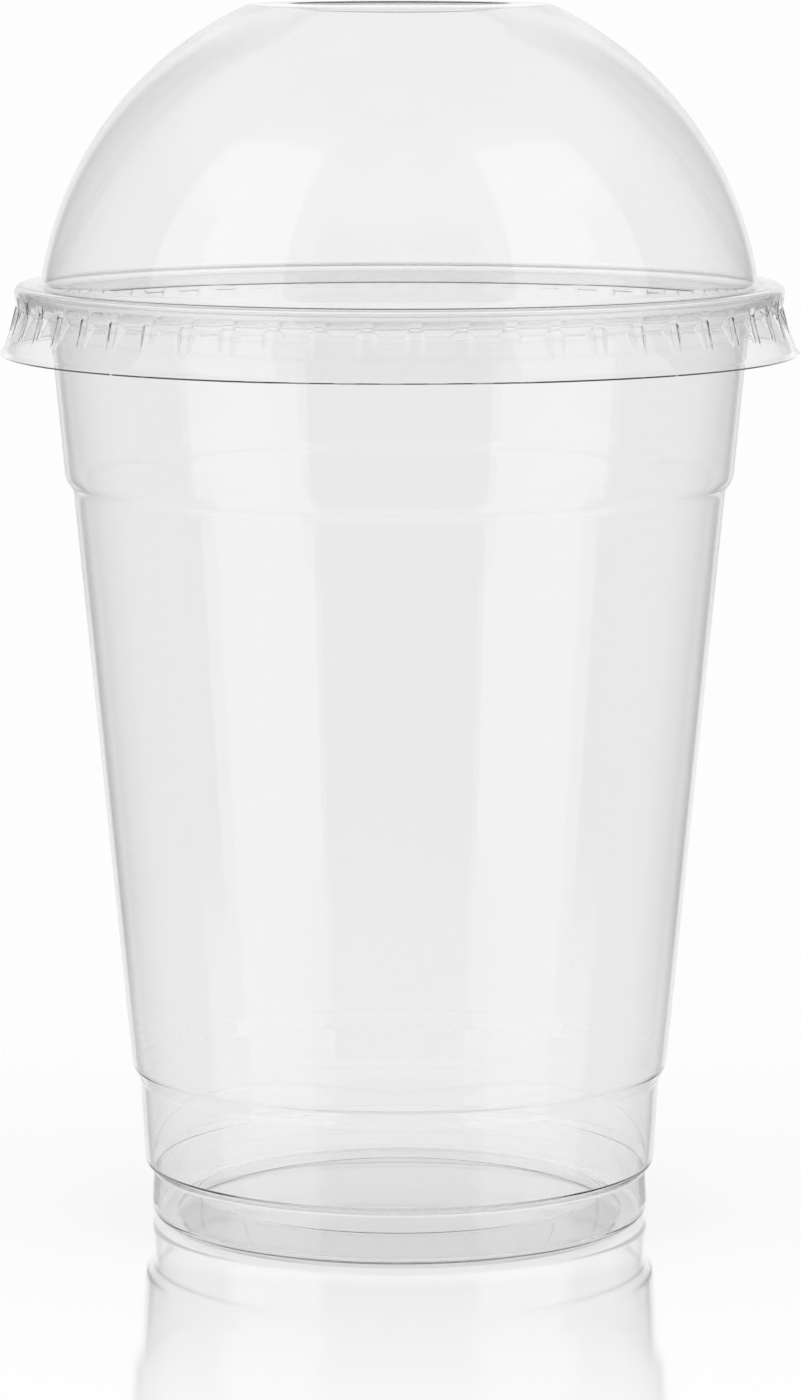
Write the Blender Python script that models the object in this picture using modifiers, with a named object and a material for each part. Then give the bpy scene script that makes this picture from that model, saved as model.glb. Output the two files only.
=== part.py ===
"""Clear takeaway cup with a domed snap lid. Metres, +Z up.

The origin is the centre of the ring that the cup stands on.
The lid has its own origin on the same axis, at the face that rests on the cup's rim.
"""
import math

import bmesh
import bpy
from mathutils import Matrix, Vector

MM = 0.001

# Cup, main sizes
CUP_HEIGHT = 122.05 * MM
CUP_WALL = 0.50 * MM
CUP_COLUMNS = 60

# Rolled rim
RIM_RADIUS = 48.60 * MM
RIM_BEAD_RADIUS = 1.40 * MM
RIM_BEAD_STEPS = 6
RIM_CURL_END = math.radians(-120.0)
RIM_FLARE = 0.90 * MM
RIM_FLARE_HEIGHT = 2.60 * MM

# Walls, as radius gained for each unit of height
WALL_SLOPE = 0.0955
LOWER_BAND_SLOPE = 0.060
FOOT_SLOPE = -0.050

# Steps in the wall: height of the inner corner, width and height of the step
TOP_STEP_HEIGHT = 96.20 * MM
TOP_STEP_WIDTH = 1.00 * MM
TOP_STEP_RISE = 1.30 * MM
MIDDLE_STEP_HEIGHT = 18.40 * MM
MIDDLE_STEP_WIDTH = 1.00 * MM
MIDDLE_STEP_RISE = 1.00 * MM
FOOT_STEP_HEIGHT = 6.40 * MM
FOOT_STEP_WIDTH = 1.10 * MM
FOOT_STEP_RISE = 1.00 * MM
WALL_STEP_FILLET = 2.00 * MM
FOOT_STEP_FILLET = 0.80 * MM

# Foot ring and raised base panel
FOOT_FILLET = 0.80 * MM
STANDING_WIDTH = 1.80 * MM
PANEL_INSET = 3.00 * MM
PANEL_HEIGHT = 2.40 * MM
PANEL_CROWN = 2.40 * MM
PANEL_FILLET = 1.20 * MM

# Lid, main sizes
LID_WALL = 0.45 * MM
LID_COLUMNS = 53
LID_TURN = math.radians(3.9)
SEAT_GAP = 0.30 * MM
SNAP_CLEARANCE = 0.30 * MM

# Dome, its flat top and the dished hole in it
DOME_INSET = 2.10 * MM
DOME_RISE = 35.95 * MM
DOME_BOW = 5.75 * MM
DOME_FILLET = 1.00 * MM
DOME_STEPS = 8
HOLE_RADIUS = 12.60 * MM
HOLE_FLOOR = 1.00 * MM
DISH_WIDTH = 1.80 * MM
DISH_DEPTH = 1.30 * MM
TOP_LAND = 5.00 * MM

# Channel over the rim, neck under it and flared skirt, as distances from the neck and the seat
CHANNEL_BULGE = 0.75 * MM
CHANNEL_FILLET = 1.10 * MM
CHANNEL_FOOT_BULGE = 0.35 * MM
CHANNEL_FOOT_DROP = 2.30 * MM
NECK_DROP = 3.05 * MM
SKIRT_FLARE = 1.60 * MM
SKIRT_DROP = 6.55 * MM
HEM_FLARE = 2.00 * MM
HEM_DROP = 7.85 * MM
EDGE_FLARE = 2.60 * MM
EDGE_DROP = 8.40 * MM

# Snap ribs, pleats in the sheet that bridge the neck
RIB_COUNT = 53
RIB_DROP = 5.85 * MM
RIB_CREST_WIDTH = 1.60 * MM
RIB_BASE_WIDTH = 3.00 * MM

# How far the ribs' crests lie below the channel's foot, and their hollows run past the sheet
RIB_SINK = 0.06 * MM
HOLLOW_RUN = 0.70 * MM

# The most of an outline's straight run that the fillet at one of its ends may use
FILLET_SHARE = 0.45
FILLET_STEPS = 2

MERGE_DISTANCE = 0.01 * MM


def clear_scene():
    for item in list(bpy.data.objects):
        bpy.data.objects.remove(item, do_unlink=True)


def make_collection(name):
    collection = bpy.data.collections.new(name)
    bpy.context.scene.collection.children.link(collection)
    return collection


def clear_plastic(name, tint, roughness, ior):
    material = bpy.data.materials.new(name)
    material.use_nodes = True
    shader = material.node_tree.nodes["Principled BSDF"]
    shader.inputs["Base Color"].default_value = (*tint, 1.0)
    shader.inputs["Roughness"].default_value = roughness
    shader.inputs["Metallic"].default_value = 0.0
    shader.inputs["IOR"].default_value = ior
    shader.inputs["Transmission Weight"].default_value = 1.0
    return material


def arc(centre, radius, start, end, steps):
    """Points on a circle from one angle to another, both ends included."""
    turn = (end - start) / steps
    angles = [start + turn * index for index in range(steps + 1)]
    return [(centre[0] + radius * math.cos(a), centre[1] + radius * math.sin(a)) for a in angles]


def rounded(before, corner, after, radius):
    """The points that round one corner of an outline with a fillet of the given radius."""
    to_before = math.atan2(before[1] - corner[1], before[0] - corner[0])
    to_after = math.atan2(after[1] - corner[1], after[0] - corner[0])
    opening = (to_after - to_before + math.pi) % (2 * math.pi) - math.pi
    half = abs(opening) / 2
    room = FILLET_SHARE * min(math.dist(before, corner), math.dist(corner, after))
    reach = min(radius / math.tan(half), room)
    fitted = reach * math.tan(half)
    bisector = to_before + opening / 2
    to_centre = fitted / math.sin(half)
    centre = (corner[0] + to_centre * math.cos(bisector), corner[1] + to_centre * math.sin(bisector))
    side = math.copysign(1.0, opening)
    start = to_before - side * math.pi / 2
    sweep = -side * (math.pi - abs(opening))
    return arc(centre, fitted, start, start + sweep, FILLET_STEPS)


def round_corners(outline, fillets):
    """An outline in which each corner that has a fillet radius above zero is rounded."""
    points = [outline[0]]
    for index in range(1, len(outline) - 1):
        before, corner, after = outline[index - 1:index + 2]
        if fillets[index] > 0:
            points += rounded(before, corner, after, fillets[index])
        else:
            points.append(corner)
    points.append(outline[-1])
    return points


def cup_profile():
    """The cup's outer side, from the end of the rolled rim down to the middle of the base."""
    bead_centre = (RIM_RADIUS - RIM_BEAD_RADIUS, CUP_HEIGHT - RIM_BEAD_RADIUS)
    curl = arc(bead_centre, RIM_BEAD_RADIUS - CUP_WALL, RIM_CURL_END, math.pi, RIM_BEAD_STEPS)

    wall_top = (curl[-1][0] - RIM_FLARE, bead_centre[1] - RIM_FLARE_HEIGHT)
    top_step_outer_height = TOP_STEP_HEIGHT + TOP_STEP_RISE
    top_step_outer = (wall_top[0] - WALL_SLOPE * (wall_top[1] - top_step_outer_height), top_step_outer_height)
    top_step_inner = (top_step_outer[0] - TOP_STEP_WIDTH, TOP_STEP_HEIGHT)

    middle_step_outer_height = MIDDLE_STEP_HEIGHT + MIDDLE_STEP_RISE
    main_wall_height = TOP_STEP_HEIGHT - middle_step_outer_height
    middle_step_outer = (top_step_inner[0] - WALL_SLOPE * main_wall_height, middle_step_outer_height)
    middle_step_inner = (middle_step_outer[0] - MIDDLE_STEP_WIDTH, MIDDLE_STEP_HEIGHT)

    foot_step_outer_height = FOOT_STEP_HEIGHT + FOOT_STEP_RISE
    lower_band_height = MIDDLE_STEP_HEIGHT - foot_step_outer_height
    foot_step_outer = (middle_step_inner[0] - LOWER_BAND_SLOPE * lower_band_height, foot_step_outer_height)
    foot_step_inner = (foot_step_outer[0] - FOOT_STEP_WIDTH, FOOT_STEP_HEIGHT)

    foot_corner = (foot_step_inner[0] - FOOT_SLOPE * FOOT_STEP_HEIGHT, 0.0)
    standing_inner = (foot_corner[0] - FOOT_FILLET - STANDING_WIDTH, 0.0)
    panel_radius = standing_inner[0] - PANEL_INSET
    panel = [(panel_radius * s, PANEL_HEIGHT + PANEL_CROWN * (1 - s * s)) for s in (1.0, 0.5, 0.0)]

    outline = curl + [
        wall_top,
        top_step_outer, top_step_inner,
        middle_step_outer, middle_step_inner,
        foot_step_outer, foot_step_inner,
        foot_corner, standing_inner,
    ] + panel
    fillets = [0.0] * (len(curl) + 1) + [WALL_STEP_FILLET] * 4 + [FOOT_STEP_FILLET] * 2
    fillets += [FOOT_FILLET, 0.0, PANEL_FILLET, 0.0, 0.0]
    return round_corners(outline, fillets)


def bowed(start, end, bow, steps):
    """Points on the arc that joins two points and bows out between them, both ends included."""
    chord = math.dist(start, end)
    radius = chord * chord / (8 * bow) + bow / 2
    outward = ((start[1] - end[1]) / chord, (end[0] - start[0]) / chord)
    centre = [(a + b) / 2 - (radius - bow) * n for a, b, n in zip(start, end, outward)]
    angles = [math.atan2(point[1] - centre[1], point[0] - centre[0]) for point in (start, end)]
    return arc(centre, radius, *angles, steps)


def neck_radius():
    return RIM_RADIUS + SNAP_CLEARANCE + LID_WALL


def channel_foot():
    return (neck_radius() + CHANNEL_FOOT_BULGE, -CHANNEL_FOOT_DROP)


def neck():
    return (neck_radius(), -NECK_DROP)


def skirt():
    return (neck_radius() + SKIRT_FLARE, -SKIRT_DROP)


def rib_foot():
    """Where a rib's crest meets the skirt."""
    share = (RIB_DROP - NECK_DROP) / (SKIRT_DROP - NECK_DROP)
    return (neck_radius() + share * SKIRT_FLARE, -RIB_DROP)


def lid_profile():
    """The lid's outer side, from the hole over the dome and the channel down to the skirt's edge."""
    top = LID_WALL + DOME_RISE
    channel_corner = (neck_radius() + CHANNEL_BULGE, LID_WALL)
    dish_radius = HOLE_RADIUS + DISH_WIDTH
    dish = [(HOLE_RADIUS, top - DISH_DEPTH), (HOLE_RADIUS + HOLE_FLOOR, top - DISH_DEPTH), (dish_radius, top)]
    dome = bowed((dish_radius + TOP_LAND, top), (RIM_RADIUS - DOME_INSET, LID_WALL), DOME_BOW, DOME_STEPS)
    outline = dish + dome + [
        channel_corner,
        channel_foot(), neck(), skirt(),
        (neck_radius() + HEM_FLARE, -HEM_DROP),
        (neck_radius() + EDGE_FLARE, -EDGE_DROP),
    ]
    fillets = [0.0] * len(outline)
    fillets[outline.index(dome[-1])] = DOME_FILLET
    fillets[outline.index(channel_corner)] = CHANNEL_FILLET
    return round_corners(outline, fillets)


def turned_shell(name, profile, columns, wall, collection):
    """A sheet of even thickness, turned about Z from its outer side, which faces outward."""
    mesh = bpy.data.meshes.new(name)
    points = [(radius, 0.0, height) for radius, height in profile]
    mesh.from_pydata(points, [(i, i + 1) for i in range(len(points) - 1)], [])
    shell = bpy.data.objects.new(name, mesh)
    collection.objects.link(shell)

    turn = shell.modifiers.new("Turn", "SCREW")
    turn.axis = "Z"
    turn.angle = 2 * math.pi
    turn.steps = columns
    turn.render_steps = columns
    turn.use_merge_vertices = True
    turn.merge_threshold = MERGE_DISTANCE
    turn.use_smooth_shade = True

    sheet = shell.modifiers.new("Sheet", "SOLIDIFY")
    sheet.thickness = wall
    sheet.offset = -1.0
    sheet.use_even_offset = True
    return shell


def hull(bm, points):
    """One convex solid round the given points."""
    vertices = [bm.verts.new(point) for point in points]
    made = bmesh.ops.convex_hull(bm, input=vertices)
    inside = [item for item in made["geom_interior"] if isinstance(item, bmesh.types.BMVert)]
    bmesh.ops.delete(bm, geom=inside, context="VERTS")


def rib_ring(name, stations, lid, collection):
    """A ring of ribs. Each station is a radius, a height and a half width."""
    bm = bmesh.new()
    for index in range(RIB_COUNT):
        turn = Matrix.Rotation(2 * math.pi * (index + 0.5) / RIB_COUNT, 4, "Z")
        corners = [(r, side * w, z) for r, z, w in stations for side in (-1, 1)]
        hull(bm, [turn @ Vector(corner) for corner in corners])
    bmesh.ops.recalc_face_normals(bm, faces=bm.faces)
    mesh = bpy.data.meshes.new(name)
    bm.to_mesh(mesh)
    bm.free()
    ring = bpy.data.objects.new(name, mesh)
    collection.objects.link(ring)
    ring.parent = lid
    ring.display_type = "WIRE"
    ring.hide_render = True
    return ring


def rib_stations(inset, back_radius):
    """A rib's wedge: the two ends of its crest, moved inward by inset, and its back at the neck's height."""
    top, middle, bottom = channel_foot(), neck(), rib_foot()
    share = (middle[1] - top[1]) / (bottom[1] - top[1])
    crest_radius = top[0] + share * (bottom[0] - top[0])
    crest = RIB_CREST_WIDTH / 2
    spread = (RIB_BASE_WIDTH / 2 - crest) / (crest_radius - middle[0])
    flat = math.cos(math.pi / LID_COLUMNS)
    depth = crest_radius - inset - back_radius
    return [
        (top[0] * flat - inset, top[1], crest),
        (bottom[0] * flat - inset, bottom[1], crest),
        (back_radius * flat, middle[1], crest + spread * depth),
    ]


def add_boolean(target, operation, other):
    step = target.modifiers.new(other.name, "BOOLEAN")
    step.operation = operation
    step.solver = "EXACT"
    step.object = other


def make_cup(collection):
    cup = turned_shell("cup", cup_profile(), CUP_COLUMNS, CUP_WALL, collection)
    cup.data.materials.append(clear_plastic("cup_plastic", (0.96, 0.97, 0.97), 0.03, 1.57))
    return cup


def make_lid(collection, cutters):
    lid = turned_shell("dome_lid", lid_profile(), LID_COLUMNS, LID_WALL, collection)
    lid.location.z = CUP_HEIGHT + SEAT_GAP
    lid.rotation_euler.z = LID_TURN
    lid.data.materials.append(clear_plastic("lid_plastic", (0.96, 0.97, 0.97), 0.03, 1.57))

    pleat_stations = rib_stations(RIB_SINK, neck_radius() - LID_WALL / 2)
    hollow_stations = rib_stations(RIB_SINK + LID_WALL, neck_radius() - LID_WALL - HOLLOW_RUN)
    pleats = rib_ring("rib_pleats", pleat_stations, lid, cutters)
    hollows = rib_ring("rib_hollows", hollow_stations, lid, cutters)
    add_boolean(lid, "UNION", pleats)
    add_boolean(lid, "DIFFERENCE", hollows)
    return lid


def main():
    clear_scene()
    parts = make_collection("plastic_cup_with_lid")
    cutters = make_collection("cutters")
    make_cup(parts)
    make_lid(parts, cutters)


main()
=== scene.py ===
import math

import bmesh
import bpy
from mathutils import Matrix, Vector


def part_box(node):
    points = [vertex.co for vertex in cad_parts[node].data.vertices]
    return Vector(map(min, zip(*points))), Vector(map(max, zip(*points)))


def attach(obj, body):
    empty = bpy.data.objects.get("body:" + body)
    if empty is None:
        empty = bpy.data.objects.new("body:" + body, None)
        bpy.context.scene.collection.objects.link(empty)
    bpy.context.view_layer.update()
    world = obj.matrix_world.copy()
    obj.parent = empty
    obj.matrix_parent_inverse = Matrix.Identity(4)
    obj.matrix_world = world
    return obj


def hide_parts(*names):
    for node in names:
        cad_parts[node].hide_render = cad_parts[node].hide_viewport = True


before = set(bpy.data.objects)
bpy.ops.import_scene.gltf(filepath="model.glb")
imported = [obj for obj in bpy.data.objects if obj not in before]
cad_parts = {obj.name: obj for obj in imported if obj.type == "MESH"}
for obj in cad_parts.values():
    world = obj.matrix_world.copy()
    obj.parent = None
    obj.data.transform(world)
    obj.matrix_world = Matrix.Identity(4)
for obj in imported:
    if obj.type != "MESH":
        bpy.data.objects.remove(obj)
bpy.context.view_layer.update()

MM = 0.001

# The most of a straight run that one fillet may take
FILLET_SHARE = 0.48
# Edges that turn more than this stay sharp in the light
CREASE = math.radians(28.0)

# Cup: the frame's form, as a sheet that is thicker on its inner side and thin at the rim
_, CUP_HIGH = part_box("cup")
CUP_HEIGHT = CUP_HIGH.z
RIM_RADIUS = CUP_HIGH.x
CUP_WALL = 0.70 * MM
CUP_RIM_WALL = 0.35 * MM
CUP_CURL_WALL = 0.14 * MM
CUP_BASE_WALL = 0.55 * MM
CUP_THIN_FROM = 78.0 * MM
CUP_COLUMNS = 320
CUP_ROW_LENGTH = 6.0 * MM
CUP_FILLET_STEPS = 6

# Rolled rim, a little slimmer than in the frame
RIM_BEAD_RADIUS = 1.10 * MM
RIM_CURL_END = math.radians(-95.0)
RIM_BEAD_STEPS = 20
WALL_TOP_RADIUS = 45.40 * MM
RIM_FLARE_HEIGHT = 2.60 * MM
RIM_FLARE_FILLET = 4.00 * MM

# Walls, as radius gained for each unit of height
WALL_SLOPE = 0.0955
LOWER_BAND_SLOPE = 0.060
FOOT_SLOPE = -0.050

# Steps in the wall: height of the inner corner, width and height of the step. The middle one is
# higher than in the frame
TOP_STEP_HEIGHT = 96.20 * MM
TOP_STEP_WIDTH = 1.00 * MM
TOP_STEP_RISE = 1.30 * MM
MIDDLE_STEP_HEIGHT = 18.40 * MM
MIDDLE_STEP_WIDTH = 1.00 * MM
MIDDLE_STEP_RISE = 2.00 * MM
FOOT_STEP_HEIGHT = 6.40 * MM
FOOT_STEP_WIDTH = 1.10 * MM
FOOT_STEP_RISE = 1.00 * MM
TOP_STEP_FILLET = 2.70 * MM
MIDDLE_STEP_FILLET = 2.00 * MM
FOOT_STEP_FILLET = 0.80 * MM

# Foot ring and raised base panel
FOOT_FILLET = 1.60 * MM
STANDING_WIDTH = 1.80 * MM
STANDING_FILLET = 0.90 * MM
PANEL_INSET = 3.00 * MM
PANEL_HEIGHT = 2.40 * MM
PANEL_CROWN = 2.40 * MM
PANEL_FILLET = 2.00 * MM
PANEL_STEPS = 12

# Lid, with a sheet that is thickest up the dome and thinnest at the hole
LID_WALL = 0.62 * MM
LID_SKIRT_WALL = 0.30 * MM
LID_HOLE_WALL = 0.15 * MM
LID_HOLE_RUN = 12.0 * MM
LID_THIN_FROM = 36.0 * MM
LID_SEAT_WALL = 0.45 * MM
LID_TURN = math.radians(3.9)
LID_FILLET_STEPS = 4
_, LID_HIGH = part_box("dome_lid")
SEAT_GAP = 0.30 * MM
SEAT_HEIGHT = CUP_HEIGHT + SEAT_GAP
SNAP_CLEARANCE = 0.30 * MM
NECK_RADIUS = RIM_RADIUS + SNAP_CLEARANCE + LID_SEAT_WALL
DOME_INSET = 2.10 * MM
DOME_BOW = 5.75 * MM
DOME_FILLET = 1.00 * MM
DOME_STEPS = 20
HOLE_RADIUS = 12.60 * MM
HOLE_FLOOR = 1.00 * MM
DISH_WIDTH = 1.80 * MM
DISH_DEPTH = 1.30 * MM
DISH_FILLET = 0.30 * MM
TOP_LAND = 5.00 * MM
TOP_FILLET = 3.00 * MM

# Channel, neck and skirt, as distances from the neck and the seat
CHANNEL_BULGE = 0.75 * MM
CHANNEL_FILLET = 1.10 * MM
CHANNEL_FOOT_BULGE = 0.35 * MM
CHANNEL_FOOT_DROP = 2.30 * MM
NECK_DROP = 3.05 * MM
SKIRT_FLARE = 1.60 * MM
SKIRT_DROP = 6.55 * MM
HEM_FLARE = 2.00 * MM
HEM_DROP = 7.85 * MM
HEM_FILLET = 0.40 * MM
EDGE_FLARE = 2.56 * MM
EDGE_DROP = 8.40 * MM

# Snap ribs across the neck, with a narrower crest than in the frame
RIB_COUNT = 53
RIB_DROP = 5.85 * MM
RIB_ROW_LENGTH = 0.30 * MM
RIB_CREST_WIDTH = 1.10 * MM
RIB_BASE_WIDTH = 3.00 * MM
RIB_ROUND = 0.30 * MM
RIB_FLAT_EDGE = 0.20 * MM
# A rib's side from its crest to its base, as shares of its width and of its height
RIB_SIDE = ((0.0, 0.985), (0.15, 0.86), (0.93, 0.06), (1.0, 0.0))

# Camera, fitted to the photo's rings and outline, with its focal length in photo pixels
PHOTO_HEIGHT = 1400
FOCAL_PIXELS = 5885.0
SENSOR = 36.0
CAMERA_PLACE = Vector((0.13, -763.0, 172.97)) * MM
CAMERA_PITCH = math.radians(7.82)


def arc(centre, radius, start, end, steps):
    """Points on a circle from one angle to another, both ends included."""
    turn = (end - start) / steps
    angles = [start + turn * index for index in range(steps + 1)]
    return [(centre[0] + radius * math.cos(a), centre[1] + radius * math.sin(a)) for a in angles]


def bowed(start, end, bow, steps):
    """Points on the arc that joins two points and bows out between them, both ends included."""
    chord = math.dist(start, end)
    radius = chord * chord / (8 * bow) + bow / 2
    outward = ((start[1] - end[1]) / chord, (end[0] - start[0]) / chord)
    centre = [(a + b) / 2 - (radius - bow) * n for a, b, n in zip(start, end, outward)]
    angles = [math.atan2(point[1] - centre[1], point[0] - centre[0]) for point in (start, end)]
    return arc(centre, radius, *angles, steps)


def rounded(before, corner, after, radius, steps):
    """The points that round one corner of an outline with a fillet of the given radius."""
    to_before = math.atan2(before[1] - corner[1], before[0] - corner[0])
    to_after = math.atan2(after[1] - corner[1], after[0] - corner[0])
    opening = (to_after - to_before + math.pi) % (2 * math.pi) - math.pi
    half = abs(opening) / 2
    room = FILLET_SHARE * min(math.dist(before, corner), math.dist(corner, after))
    reach = min(radius / math.tan(half), room)
    fitted = reach * math.tan(half)
    to_centre = fitted / math.sin(half)
    bisector = to_before + opening / 2
    centre = (corner[0] + to_centre * math.cos(bisector), corner[1] + to_centre * math.sin(bisector))
    side = math.copysign(1.0, opening)
    start = to_before - side * math.pi / 2
    return arc(centre, fitted, start, start - side * (math.pi - abs(opening)), steps)


def round_corners(outline, fillets, steps):
    """An outline in which each corner that has a fillet radius above zero is rounded."""
    points = [outline[0]]
    for index in range(1, len(outline) - 1):
        before, corner, after = outline[index - 1:index + 2]
        if fillets[index] > 0:
            points += rounded(before, corner, after, fillets[index], steps)
        else:
            points.append(corner)
    points.append(outline[-1])
    return points


def subdivided(points, longest):
    """The same outline with no straight run longer than the given length."""
    out = [points[0]]
    for start, end in zip(points, points[1:]):
        parts = max(1, math.ceil(math.dist(start, end) / longest))
        for part in range(1, parts + 1):
            share = part / parts
            out.append(tuple(a + (b - a) * share for a, b in zip(start, end)))
    return out


def cup_profile():
    """The cup's outer side, from the end of the rolled rim down to the middle of the base."""
    bead_centre = (RIM_RADIUS - RIM_BEAD_RADIUS, CUP_HEIGHT - RIM_BEAD_RADIUS)
    curl = arc(bead_centre, RIM_BEAD_RADIUS - CUP_RIM_WALL, RIM_CURL_END, math.pi, RIM_BEAD_STEPS)
    wall_top = (WALL_TOP_RADIUS, bead_centre[1] - RIM_FLARE_HEIGHT)

    height = TOP_STEP_HEIGHT + TOP_STEP_RISE
    top_outer = (wall_top[0] - WALL_SLOPE * (wall_top[1] - height), height)
    top_inner = (top_outer[0] - TOP_STEP_WIDTH, TOP_STEP_HEIGHT)
    height = MIDDLE_STEP_HEIGHT + MIDDLE_STEP_RISE
    middle_outer = (top_inner[0] - WALL_SLOPE * (TOP_STEP_HEIGHT - height), height)
    middle_inner = (middle_outer[0] - MIDDLE_STEP_WIDTH, MIDDLE_STEP_HEIGHT)
    height = FOOT_STEP_HEIGHT + FOOT_STEP_RISE
    foot_outer = (middle_inner[0] - LOWER_BAND_SLOPE * (MIDDLE_STEP_HEIGHT - height), height)
    foot_inner = (foot_outer[0] - FOOT_STEP_WIDTH, FOOT_STEP_HEIGHT)

    foot_corner = (foot_inner[0] - FOOT_SLOPE * FOOT_STEP_HEIGHT, 0.0)
    standing_inner = (foot_corner[0] - FOOT_FILLET - STANDING_WIDTH, 0.0)
    panel_radius = standing_inner[0] - PANEL_INSET
    shares = [1 - index / PANEL_STEPS for index in range(PANEL_STEPS + 1)]
    panel = [(panel_radius * s, PANEL_HEIGHT + PANEL_CROWN * (1 - s * s)) for s in shares]

    steps = [top_outer, top_inner, middle_outer, middle_inner, foot_outer, foot_inner]
    outline = curl + [wall_top] + steps + [foot_corner, standing_inner] + panel
    fillets = [0.0] * len(curl) + [RIM_FLARE_FILLET]
    fillets += [TOP_STEP_FILLET] * 2 + [MIDDLE_STEP_FILLET] * 2 + [FOOT_STEP_FILLET] * 2
    fillets += [FOOT_FILLET, STANDING_FILLET, PANEL_FILLET] + [0.0] * PANEL_STEPS
    return round_corners(outline, fillets, CUP_FILLET_STEPS)


def rib_foot():
    """Where a rib's crest meets the skirt."""
    share = (RIB_DROP - NECK_DROP) / (SKIRT_DROP - NECK_DROP)
    return (NECK_RADIUS + share * SKIRT_FLARE, -RIB_DROP)


def lid_profile():
    """The lid's outer side, from the hole over the dome and the channel down to the skirt's edge."""
    top = LID_HIGH.z - SEAT_HEIGHT
    dish_radius = HOLE_RADIUS + DISH_WIDTH
    floor = top - DISH_DEPTH
    dish = [(HOLE_RADIUS, floor), (HOLE_RADIUS + HOLE_FLOOR, floor), (dish_radius, top)]
    dome_top = (dish_radius + TOP_LAND, top)
    dome_foot = (RIM_RADIUS - DOME_INSET, LID_SEAT_WALL)
    dome = bowed(dome_top, dome_foot, DOME_BOW, DOME_STEPS)
    below = [
        (NECK_RADIUS + CHANNEL_BULGE, LID_SEAT_WALL),
        (NECK_RADIUS + CHANNEL_FOOT_BULGE, -CHANNEL_FOOT_DROP),
        (NECK_RADIUS, -NECK_DROP),
        rib_foot(),
        (NECK_RADIUS + SKIRT_FLARE, -SKIRT_DROP),
        (NECK_RADIUS + HEM_FLARE, -HEM_DROP),
        (NECK_RADIUS + EDGE_FLARE, -EDGE_DROP),
    ]
    fillets = [0.0, DISH_FILLET, DISH_FILLET, TOP_FILLET] + [0.0] * (len(dome) - 2) + [DOME_FILLET]
    fillets += [CHANNEL_FILLET, 0.0, 0.0, 0.0, 0.0, HEM_FILLET, 0.0]
    outline = round_corners(dish + dome + below, fillets, LID_FILLET_STEPS)
    first, last = outline.index(below[1]), outline.index(rib_foot())
    return outline[:first] + subdivided(outline[first:last + 1], RIB_ROW_LENGTH) + outline[last + 1:]


def rib_lift(radius, height):
    """How far a rib's crest stands over the sheet, and how far its base has opened, from 0 to 1."""
    top = (NECK_RADIUS + CHANNEL_FOOT_BULGE, -CHANNEL_FOOT_DROP)
    bottom = rib_foot()
    if not bottom[1] < height < top[1]:
        return 0.0, 0.0
    share = (height - top[1]) / (bottom[1] - top[1])
    lift = max(0.0, top[0] + share * (bottom[0] - top[0]) - radius)
    if height > -NECK_DROP:
        return lift, (top[1] - height) / (top[1] + NECK_DROP)
    return lift, (height - bottom[1]) / (-NECK_DROP - bottom[1])


def rib_row(radius, height):
    """One row's columns as angles and rises. Near the neck they follow the ribs' sides."""
    lift, opened = rib_lift(radius, height)
    pitch = 2 * math.pi / RIB_COUNT
    crest = RIB_CREST_WIDTH / 2
    side = RIB_ROUND + (RIB_BASE_WIDTH / 2 - crest - RIB_ROUND) * opened
    above = (height + CHANNEL_FOOT_DROP) / (LID_SEAT_WALL - CHANNEL_FILLET + CHANNEL_FOOT_DROP)
    followed = min(1.0, max(0.0, 1.0 - above))

    sides = [(crest + side * step, share) for step, share in RIB_SIDE]
    ends = [(crest + side + RIB_FLAT_EDGE, 0.0), (pitch * NECK_RADIUS / 2, 0.0)]
    half = [(crest - RIB_FLAT_EDGE, 1.0)] + sides + ends
    offsets = [(-offset, share) for offset, share in half[::-1]] + half[:-1]
    row = []
    for rib in range(RIB_COUNT):
        middle = LID_TURN + pitch * (rib + 0.5)
        for column, (offset, share) in enumerate(offsets):
            even = (column / len(offsets) - 0.5) * pitch
            angle = even + followed * (offset / NECK_RADIUS - even)
            row.append((middle + angle, lift * share))
    return row


def inner_side(profile, walls):
    """The sheet's inner side: each point of the outer side, moved inward by the wall there."""
    normals = []
    for (r0, z0), (r1, z1) in zip(profile, profile[1:]):
        length = math.dist((r0, z0), (r1, z1))
        normals.append(((z0 - z1) / length, (r1 - r0) / length))
    normals = [normals[0]] + normals + [normals[-1]]
    inner = []
    for (r, z), before, after, wall in zip(profile, normals, normals[1:], walls):
        mitre = 1.0 + before[0] * after[0] + before[1] * after[1]
        inner_r = r - wall * (before[0] + after[0]) / mitre
        inner_z = z - wall * (before[1] + after[1]) / mitre
        inner.append((inner_r, inner_z))
    return inner


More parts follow.
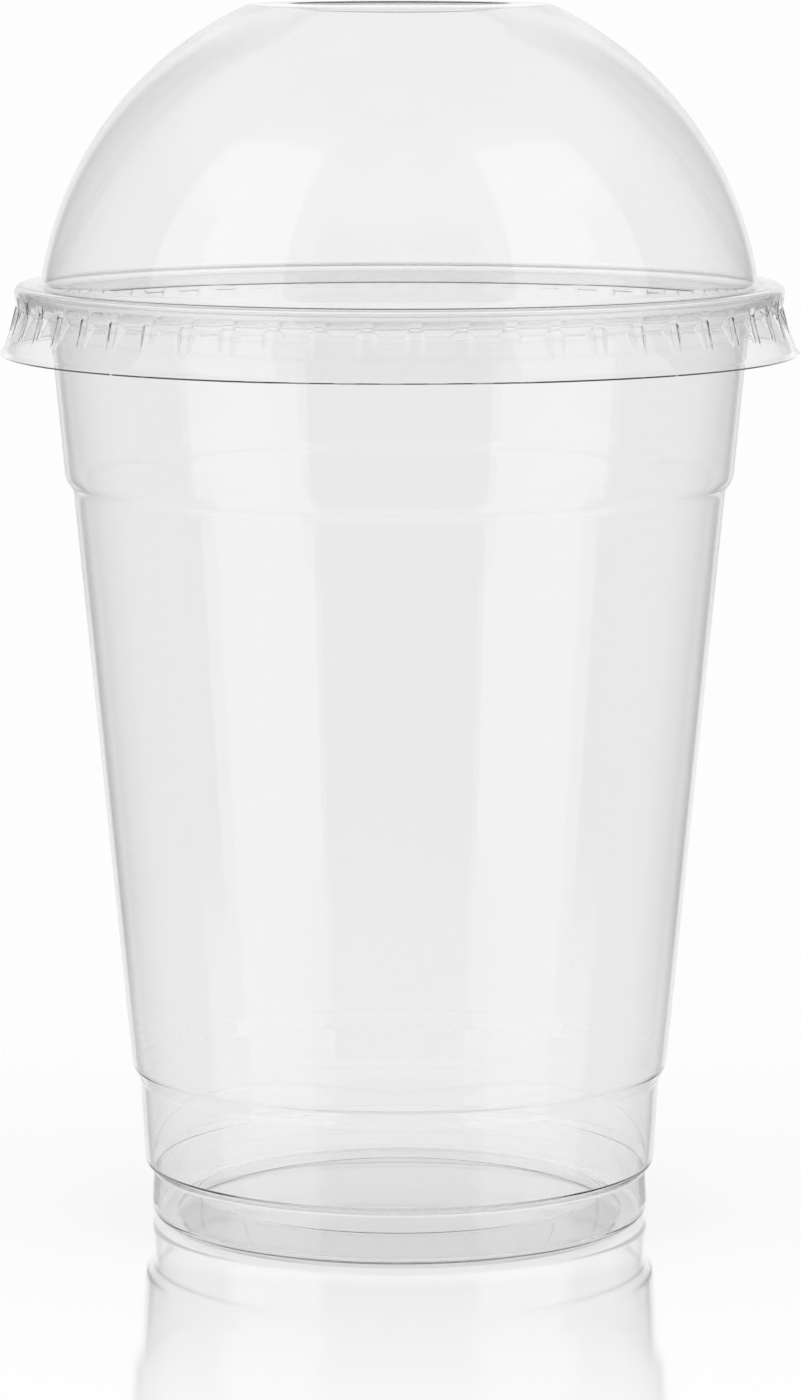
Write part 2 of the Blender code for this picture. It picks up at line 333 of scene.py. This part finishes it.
def sheet(name, profile, walls, row_of, closed_end=False):
    """A closed shell turned about Z. row_of gives each row's columns as angles and rises."""
    inner = inner_side(profile, walls)
    count = len(profile) - 1 if closed_end else len(profile)
    rows = [row_of(*point) for point in profile[:count]]
    loop = list(zip(profile[:count], rows))
    turn_back = len(loop)
    loop += list(zip(inner[count - 1::-1], rows[::-1]))

    vertices = []
    for (radius, height), row in loop:
        for angle, rise in row:
            r = radius + rise
            vertices.append((r * math.cos(angle), r * math.sin(angle), height))
    columns = len(rows[0])
    faces = []
    for i in range(len(loop)):
        j = (i + 1) % len(loop)
        if closed_end and j == turn_back:
            continue
        for a in range(columns):
            b = (a + 1) % columns
            faces.append((i * columns + a, j * columns + a, j * columns + b, i * columns + b))
    if closed_end:
        pole = len(vertices)
        vertices += [(0.0, 0.0, profile[-1][1]), (0.0, 0.0, inner[-1][1])]
        under, over = (turn_back - 1) * columns, turn_back * columns
        for a in range(columns):
            b = (a + 1) % columns
            faces.append((under + a, pole, under + b))
            faces.append((pole + 1, over + a, over + b))
    mesh = bpy.data.meshes.new(name)
    mesh.from_pydata(vertices, [], faces)
    mesh.validate()
    mesh.shade_smooth()
    mesh.set_sharp_from_angle(angle=CREASE)
    piece = bpy.data.objects.new(name, mesh)
    bpy.context.scene.collection.objects.link(piece)
    return piece


def cup_walls(profile):
    """The cup's wall at each point of its profile: thinner towards the rim and in the base."""
    rim_foot = CUP_HEIGHT - RIM_BEAD_RADIUS - RIM_FLARE_HEIGHT
    foot_radius = max(radius for radius, height in profile if height < FOOT_FILLET)
    curl_steps = RIM_BEAD_STEPS // 2
    walls = []
    for index, (radius, height) in enumerate(profile):
        thinned = min(1.0, max(0.0, (height - CUP_THIN_FROM) / (rim_foot - CUP_THIN_FROM)))
        wall = CUP_WALL + (CUP_RIM_WALL - CUP_WALL) * thinned
        if index < curl_steps:
            wall = CUP_CURL_WALL + (CUP_RIM_WALL - CUP_CURL_WALL) * index / curl_steps
        if height < FOOT_STEP_HEIGHT and radius < foot_radius:
            wall = CUP_BASE_WALL
        walls.append(wall)
    return walls


def make_cup(material):
    """The cup as one clear sheet, in the place of its solid."""
    profile = subdivided(cup_profile(), CUP_ROW_LENGTH)
    turn = 2 * math.pi / CUP_COLUMNS
    row = [(turn * i, 0.0) for i in range(CUP_COLUMNS)]
    cup = sheet("cup_shell", profile, cup_walls(profile), lambda radius, height: row, closed_end=True)
    cup.data.materials.append(material)
    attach(cup, "cup")
    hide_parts("cup")
    # The floor's scattered light passes the clear sheet, so that its shadow stays faint
    cup.visible_diffuse = False


def lid_walls(profile):
    """The lid's wall at each point of its profile: thicker up the dome and thin at the hole."""
    walls = []
    for radius, height in profile:
        risen = min(1.0, max(0.0, height / LID_THIN_FROM))
        wall = LID_SKIRT_WALL + (LID_WALL - LID_SKIRT_WALL) * risen
        near = 1.0 - min(1.0, (radius - HOLE_RADIUS) / LID_HOLE_RUN)
        walls.append(wall + (LID_HOLE_WALL - wall) * near)
    return walls


def make_lid(material):
    """The lid as one clear sheet, in the place of its solid."""
    profile = lid_profile()
    lid = sheet("dome_lid_shell", profile, lid_walls(profile), rib_row)
    lid.location.z = SEAT_HEIGHT
    lid.data.materials.append(material)
    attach(lid, "lid")
    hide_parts("dome_lid")
    lid.visible_diffuse = False


def add_node(tree, kind, **settings):
    """A new node of the given kind and settings."""
    node = tree.nodes.new(kind)
    for key, value in settings.items():
        setattr(node, key, value)
    return node


# Clear sheet plastic. The lines of the drawn sheet are waves for each metre along X, Y and Z
PLASTIC_IOR = 1.57
CUP_TINT = (0.948, 0.948, 0.948)
LID_TINT = (0.968, 0.968, 0.968)
DRAW_LINES = (90.0, 90.0, 14.0)
DRAW_STRENGTH = 0.15
DRAW_DEPTH = 0.02 * MM
ROUGHEST = 0.03
TINT_UNEVEN = 0.985


def clear_plastic(name, tint):
    """Clear sheet plastic: faint draw lines and unevenness in its gloss and its surface."""
    material = bpy.data.materials.new(name)
    material.use_nodes = True
    tree = material.node_tree
    shader = tree.nodes["Principled BSDF"]
    shader.inputs["Transmission Weight"].default_value = 1.0
    shader.inputs["IOR"].default_value = PLASTIC_IOR
    shader.inputs["Metallic"].default_value = 0.0

    place = add_node(tree, "ShaderNodeTexCoord")
    drawn = add_node(tree, "ShaderNodeMapping")
    drawn.inputs["Scale"].default_value = DRAW_LINES
    tree.links.new(place.outputs["Object"], drawn.inputs["Vector"])

    waves = add_node(tree, "ShaderNodeTexNoise")
    waves.inputs["Scale"].default_value = 1.0
    waves.inputs["Detail"].default_value = 2.0
    tree.links.new(drawn.outputs["Vector"], waves.inputs["Vector"])

    bump = add_node(tree, "ShaderNodeBump")
    bump.inputs["Strength"].default_value = DRAW_STRENGTH
    bump.inputs["Distance"].default_value = DRAW_DEPTH
    tree.links.new(waves.outputs["Fac"], bump.inputs["Height"])
    tree.links.new(bump.outputs["Normal"], shader.inputs["Normal"])

    haze = add_node(tree, "ShaderNodeMapRange")
    haze.inputs["To Min"].default_value = 0.0
    haze.inputs["To Max"].default_value = ROUGHEST
    tree.links.new(waves.outputs["Fac"], haze.inputs["Value"])
    tree.links.new(haze.outputs["Result"], shader.inputs["Roughness"])

    colour = add_node(tree, "ShaderNodeMix", data_type="RGBA")
    colour.inputs["A"].default_value = (*tint, 1.0)
    colour.inputs["B"].default_value = (*[c * TINT_UNEVEN for c in tint], 1.0)
    tree.links.new(waves.outputs["Fac"], colour.inputs["Factor"])
    tree.links.new(colour.outputs["Result"], shader.inputs["Base Color"])
    return material


# Studio: its level at each angle away from straight behind the object, in degrees
BACKDROP_WHITE = 0.985
STUDIO_LEVELS = (
    (0.0, BACKDROP_WHITE),
    (17.0, BACKDROP_WHITE),
    (26.0, 0.50),
    (40.0, 0.62),
    (68.0, 0.70),
    (100.0, 0.64),
    (180.0, 0.65),
)
# Heights in degrees over which the level turns to that above and below
STUDIO_TOP = (25.0, 50.0)
STUDIO_ABOVE = 0.80
STUDIO_BOTTOM = (-40.0, -60.0)
STUDIO_BELOW = 0.80
# Levels of the soft boxes, and of the studio where it only lights the floor
UPPER_LEVEL = 1.13
LOWER_LEVEL = 1.05
ROOM_LEVEL = 1.03
SOFTBOX_DISTANCE = 1.10
# Corners of the soft boxes as degrees round from the camera's side and degrees up
UPPER_BOX = ((40.0, 60.0), (88.0, 51.0), (86.0, 4.0), (37.0, 4.0))
LOWER_BOX = ((31.0, 4.0), (75.0, 4.0), (72.0, -42.0), (29.0, -42.0))
AIM = Vector((0.0, 0.0, 0.08))

# Floor, a little under the foot
FLOOR_GAP = 0.10 * MM
FLOOR_RADIUS = 0.22
FLOOR_SIDES = 128
FLOOR_PAINT = (0.96, 0.96, 0.96, 1.0)
FLOOR_ROUGHNESS = 0.07
# The floor is all but solid up to the first radius and clear from the second on
FLOOR_FADE = (0.12, FLOOR_RADIUS * 0.98)
FLOOR_LEAST_CLEAR = 0.002
# Share of gloss beside the object and in front, and the distances in front between which it falls
FLOOR_GLOSS = 0.74
FLOOR_FRONT_GLOSS = 0.34
FLOOR_GLOSS_FRONT = (0.035, 0.115)
# What is left of that gloss where the foot has rubbed it, and the radii between which it returns
FLOOR_RUBBED = 0.55
FLOOR_RUBBED_RADIUS = (0.036, 0.046)


def ramp(tree, value, low, high, level_low, level_high):
    """A smooth step from one level to another as the value goes from low to high."""
    node = add_node(tree, "ShaderNodeMapRange", interpolation_type="SMOOTHSTEP")
    node.inputs["From Min"].default_value = low
    node.inputs["From Max"].default_value = high
    node.inputs["To Min"].default_value = level_low
    node.inputs["To Max"].default_value = level_high
    tree.links.new(value, node.inputs["Value"])
    return node.outputs["Result"]


def blended(tree, share, low, high):
    """Low where the share is 0, high where it is 1."""
    node = add_node(tree, "ShaderNodeMix", data_type="FLOAT")
    for name, source in (("Factor", share), ("A", low), ("B", high)):
        if isinstance(source, float):
            node.inputs[name].default_value = source
        else:
            tree.links.new(source, node.inputs[name])
    return node.outputs["Result"]


def make_world():
    """A pale studio, white behind the object and greyer beside it, that lights the floor white."""
    world = bpy.data.worlds.new("studio")
    bpy.context.scene.world = world
    world.use_nodes = True
    tree = world.node_tree
    background = tree.nodes["Background"]

    place = add_node(tree, "ShaderNodeTexCoord")
    axes = add_node(tree, "ShaderNodeSeparateXYZ")
    tree.links.new(place.outputs["Generated"], axes.inputs["Vector"])
    azimuth = add_node(tree, "ShaderNodeMath", operation="ARCTAN2")
    tree.links.new(axes.outputs["X"], azimuth.inputs[0])
    tree.links.new(axes.outputs["Y"], azimuth.inputs[1])
    turned = add_node(tree, "ShaderNodeMath", operation="ABSOLUTE")
    tree.links.new(azimuth.outputs["Value"], turned.inputs[0])

    level = STUDIO_LEVELS[0][1]
    for (start, _), (end, after) in zip(STUDIO_LEVELS, STUDIO_LEVELS[1:]):
        start, end = math.radians(start), math.radians(end)
        share = ramp(tree, turned.outputs["Value"], start, end, 0.0, 1.0)
        level = blended(tree, share, level, after)
    low, high = [math.sin(math.radians(angle)) for angle in STUDIO_TOP]
    above = ramp(tree, axes.outputs["Z"], low, high, 0.0, 1.0)
    level = blended(tree, above, level, STUDIO_ABOVE)
    low, high = [math.sin(math.radians(angle)) for angle in STUDIO_BOTTOM]
    below = ramp(tree, axes.outputs["Z"], low, high, 0.0, 1.0)
    level = blended(tree, below, level, STUDIO_BELOW)

    # The studio shows to the camera, in reflections and through the plastic. Other light is even
    path = add_node(tree, "ShaderNodeLightPath")
    seen = add_node(tree, "ShaderNodeMath", operation="ADD")
    tree.links.new(path.outputs["Is Camera Ray"], seen.inputs[0])
    tree.links.new(path.outputs["Is Glossy Ray"], seen.inputs[1])
    seen_clear = add_node(tree, "ShaderNodeMath", operation="ADD", use_clamp=True)
    tree.links.new(seen.outputs["Value"], seen_clear.inputs[0])
    tree.links.new(path.outputs["Is Transmission Ray"], seen_clear.inputs[1])
    level = blended(tree, seen_clear.outputs["Value"], ROOM_LEVEL, level)
    tree.links.new(level, background.inputs["Color"])


def direction(azimuth, elevation, side):
    """The way from the object to a light, in degrees from the camera's side. Side is -1 or 1."""
    a, e = math.radians(azimuth), math.radians(elevation)
    return Vector((side * math.sin(a) * math.cos(e), -math.cos(a) * math.cos(e), math.sin(e)))


def make_softbox(name, corners, level, side):
    """A flat glowing panel whose corners lie in the given directions from the object."""
    ways = [direction(*corner, side) for corner in corners]
    facing = sum(ways, Vector()).normalized()
    points = [AIM + way * (SOFTBOX_DISTANCE / way.dot(facing)) for way in ways]
    mesh = bpy.data.meshes.new(name)
    mesh.from_pydata(points, [], [list(range(len(points)))])
    panel = bpy.data.objects.new(name, mesh)
    bpy.context.scene.collection.objects.link(panel)
    material = bpy.data.materials.new(name)
    material.use_nodes = True
    tree = material.node_tree
    tree.nodes.remove(tree.nodes["Principled BSDF"])
    glow = add_node(tree, "ShaderNodeEmission")
    glow.inputs["Strength"].default_value = level
    tree.links.new(glow.outputs["Emission"], tree.nodes["Material Output"].inputs["Surface"])
    mesh.materials.append(material)
    panel.visible_camera = False


def floor_paint():
    """White paint, glossy near the object, that fades into the studio at the floor's edge."""
    material = bpy.data.materials.new("floor_paint")
    material.use_nodes = True
    tree = material.node_tree
    tree.nodes.remove(tree.nodes["Principled BSDF"])
    place = add_node(tree, "ShaderNodeTexCoord")
    away = add_node(tree, "ShaderNodeVectorMath", operation="LENGTH")
    tree.links.new(place.outputs["Object"], away.inputs[0])
    away = away.outputs["Value"]
    axes = add_node(tree, "ShaderNodeSeparateXYZ")
    tree.links.new(place.outputs["Object"], axes.inputs["Vector"])

    paint = add_node(tree, "ShaderNodeBsdfDiffuse")
    paint.inputs["Color"].default_value = FLOOR_PAINT
    gloss = add_node(tree, "ShaderNodeBsdfGlossy")
    gloss.inputs["Roughness"].default_value = FLOOR_ROUGHNESS
    gloss.inputs["Color"].default_value = (1.0, 1.0, 1.0, 1.0)
    near, far = FLOOR_GLOSS_FRONT
    share = ramp(tree, axes.outputs["Y"], -near, -far, FLOOR_GLOSS, FLOOR_FRONT_GLOSS)
    rubbed = add_node(tree, "ShaderNodeMath", operation="MULTIPLY")
    tree.links.new(share, rubbed.inputs[0])
    tree.links.new(ramp(tree, away, *FLOOR_RUBBED_RADIUS, FLOOR_RUBBED, 1.0), rubbed.inputs[1])
    glazed = add_node(tree, "ShaderNodeMixShader")
    tree.links.new(rubbed.outputs["Value"], glazed.inputs["Fac"])
    tree.links.new(paint.outputs["BSDF"], glazed.inputs[1])
    tree.links.new(gloss.outputs["BSDF"], glazed.inputs[2])

    clear = add_node(tree, "ShaderNodeBsdfTransparent")
    faded = add_node(tree, "ShaderNodeMixShader")
    tree.links.new(ramp(tree, away, *FLOOR_FADE, FLOOR_LEAST_CLEAR, 1.0), faded.inputs["Fac"])
    tree.links.new(glazed.outputs["Shader"], faded.inputs[1])
    tree.links.new(clear.outputs["BSDF"], faded.inputs[2])
    tree.links.new(faded.outputs["Shader"], tree.nodes["Material Output"].inputs["Surface"])
    return material


def make_floor():
    """A round white table."""
    bm = bmesh.new()
    bmesh.ops.create_circle(
        bm, cap_ends=True, cap_tris=True, radius=FLOOR_RADIUS, segments=FLOOR_SIDES
    )
    mesh = bpy.data.meshes.new("floor")
    bm.to_mesh(mesh)
    bm.free()
    floor = bpy.data.objects.new("floor", mesh)
    floor.location.z = -FLOOR_GAP
    bpy.context.scene.collection.objects.link(floor)
    mesh.materials.append(floor_paint())


def make_camera():
    """The camera at the photo's place and viewing angle."""
    data = bpy.data.cameras.new("camera")
    data.sensor_width = SENSOR
    data.lens = SENSOR * FOCAL_PIXELS / PHOTO_HEIGHT
    data.clip_start = 0.01
    data.clip_end = 100.0
    camera = bpy.data.objects.new("camera", data)
    camera.location = CAMERA_PLACE
    camera.rotation_euler = (math.pi / 2 - CAMERA_PITCH, 0.0, 0.0)
    bpy.context.scene.collection.objects.link(camera)
    bpy.context.scene.camera = camera


def main():
    bpy.context.scene.view_settings.view_transform = "Standard"
    make_camera()
    make_world()
    for side, word in ((-1, "left"), (1, "right")):
        make_softbox("softbox_upper_" + word, UPPER_BOX, UPPER_LEVEL, side)
        make_softbox("softbox_lower_" + word, LOWER_BOX, LOWER_LEVEL, side)
    make_floor()
    make_cup(clear_plastic("cup_plastic_clear", CUP_TINT))
    make_lid(clear_plastic("lid_plastic_clear", LID_TINT))


main()
